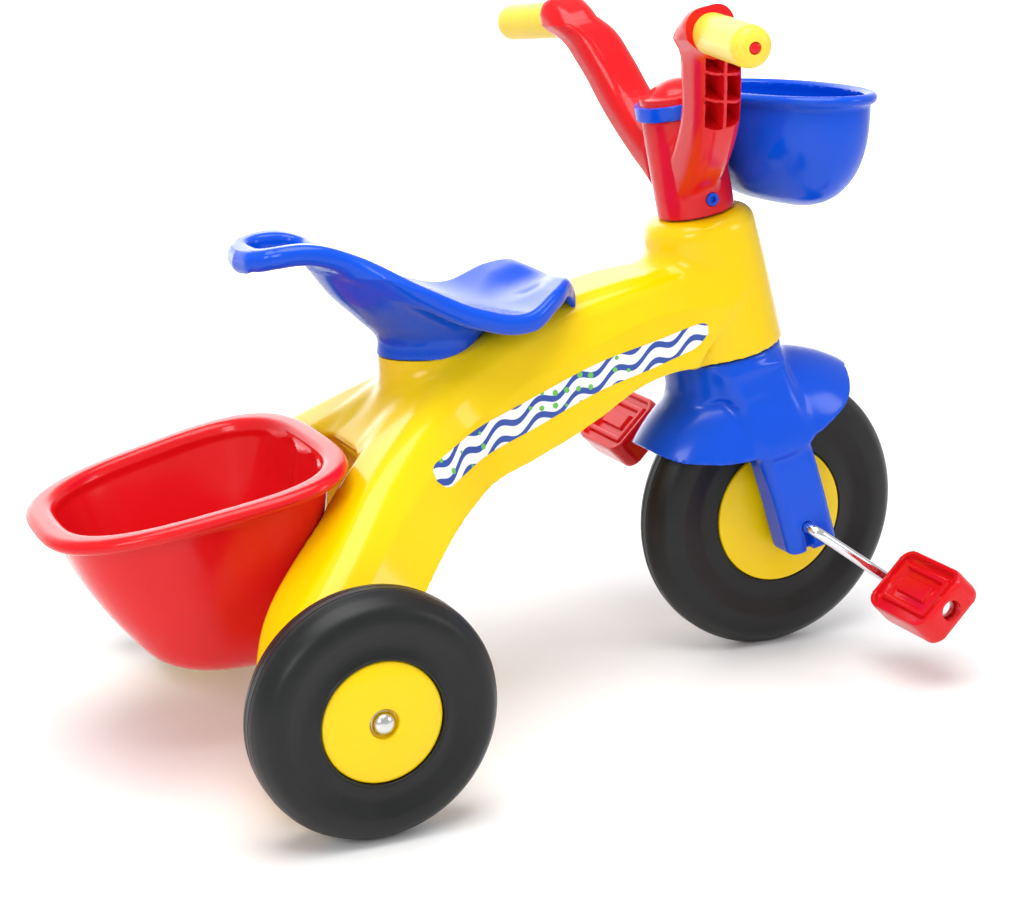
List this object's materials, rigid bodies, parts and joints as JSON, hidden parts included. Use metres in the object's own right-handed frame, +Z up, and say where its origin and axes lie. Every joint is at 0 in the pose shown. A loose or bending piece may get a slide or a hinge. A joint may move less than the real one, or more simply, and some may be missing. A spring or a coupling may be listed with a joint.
{
  "type": "children's tricycle",
  "caption": "Moulded-plastic children's tricycle with saddle, rear bucket, front basket, steering fork and pedals on the front wheel.",
  "frame": {"origin": "bottom centre of the whole tricycle's box, on the floor", "axes": "+X forward, +Y to the rider's left, +Z up"},
  "size_m": [0.6998, 0.4694, 0.5173],
  "materials": {
    "yellow_plastic": "glossy moulded yellow plastic",
    "blue_plastic": "glossy moulded blue plastic",
    "red_plastic": "glossy moulded red plastic",
    "tyre_black": "satin black moulded plastic",
    "chrome_rod": "bright plated steel rod",
    "zinc_steel": "zinc-plated steel",
    "natural_plastic": "natural white plastic"
  },
  "bodies": {
    "frame": {"body_shell": "yellow_plastic", "seat": "blue_plastic", "seat_screws": "zinc_steel", "bucket": "red_plastic", "rear_axle": "zinc_steel", "rear_axle_caps": "zinc_steel", "axle_spacers": "natural_plastic"},
    "steering": {"fork": "blue_plastic", "handlebar": "red_plastic", "bar_lock_pin": "blue_plastic", "grip_left": "yellow_plastic", "grip_right": "yellow_plastic", "front_basket": "blue_plastic"},
    "front_wheel": {"front_tyre": "tyre_black", "front_hub_left": "yellow_plastic", "front_hub_right": "yellow_plastic", "crank_rod": "chrome_rod", "pedal_lock_rings": "zinc_steel"},
    "pedal_left": {"pedal_left": "red_plastic"},
    "pedal_right": {"pedal_right": "red_plastic"},
    "rear_wheel_left": {"rear_tyre_left": "tyre_black", "rear_hub_outer_left": "yellow_plastic", "rear_hub_inner_left": "yellow_plastic"},
    "rear_wheel_right": {"rear_tyre_right": "tyre_black", "rear_hub_outer_right": "yellow_plastic", "rear_hub_inner_right": "yellow_plastic"}
  },
  "joints": [
    {"name": "steering_turn", "type": "hinge", "parent": "frame", "child": "steering", "pos_m": [0.18032, 0, 0.30367], "axis": [-0.2011, 0, 0.9796], "range_deg": [-40, 40]},
    {"name": "front_wheel_spin", "type": "hinge", "parent": "steering", "child": "front_wheel", "pos_m": [0.23695, 0, 0.113], "axis": [0, 1, 0], "continuous": true},
    {"name": "pedal_left_spin", "type": "hinge", "parent": "front_wheel", "child": "pedal_left", "pos_m": [0.17185, 0.1277, 0.1603], "axis": [0, 1, 0], "continuous": true},
    {"name": "pedal_right_spin", "type": "hinge", "parent": "front_wheel", "child": "pedal_right", "pos_m": [0.30205, -0.1277, 0.0657], "axis": [0, 1, 0], "continuous": true},
    {"name": "rear_wheel_left_spin", "type": "hinge", "parent": "frame", "child": "rear_wheel_left", "pos_m": [-0.18305, 0.2084, 0.085], "axis": [0, 1, 0], "continuous": true},
    {"name": "rear_wheel_right_spin", "type": "hinge", "parent": "frame", "child": "rear_wheel_right", "pos_m": [-0.18305, -0.2084, 0.085], "axis": [0, 1, 0], "continuous": true}
  ]
}
